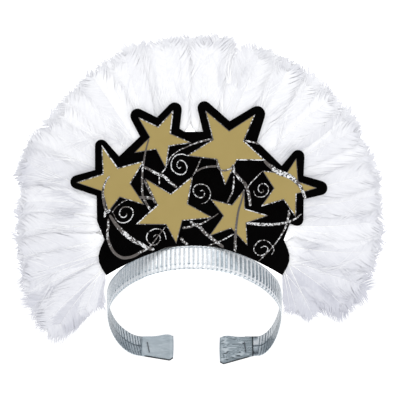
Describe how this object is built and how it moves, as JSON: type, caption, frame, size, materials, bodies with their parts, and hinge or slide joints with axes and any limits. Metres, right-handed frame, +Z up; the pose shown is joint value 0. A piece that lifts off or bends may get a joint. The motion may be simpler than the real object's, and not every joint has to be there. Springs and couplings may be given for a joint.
{
  "type": "diadem",
  "caption": "Party diadem: black card plaque with raised gold stars, a fan of white feathers behind it and an open ribbed foil headband.",
  "frame": {"origin": "the middle of the headband ring, where the head goes in, half way up the band", "axes": "+Z up; the decorated side faces -Y; +X to the viewer's right. The ring's axis leans back by 31 degrees in the YZ plane"},
  "size_m": [0.3023, 0.1752, 0.2953],
  "materials": {
    "black_card": "glossy black coated card",
    "gold_foil": "satin gold foil",
    "silver_foil": "bright ribbed silver foil on card",
    "smooth_silver_foil": "smooth silver foil, slightly creased",
    "staple_wire": "flat steel wire",
    "white_feather": "soft white feather"
  },
  "bodies": {
    "root": {"plaque": "black_card", "star_left": "gold_foil", "star_upper_left": "gold_foil", "star_upper_right": "gold_foil", "star_right": "gold_foil", "star_lower_left": "gold_foil", "star_lower_right": "gold_foil", "headband": "silver_foil", "end_tab_left": "smooth_silver_foil", "end_tab_right": "smooth_silver_foil", "staple_left": "staple_wire", "staple_right": "staple_wire", "feather_fan": "white_feather"}
  },
  "joints": []
}
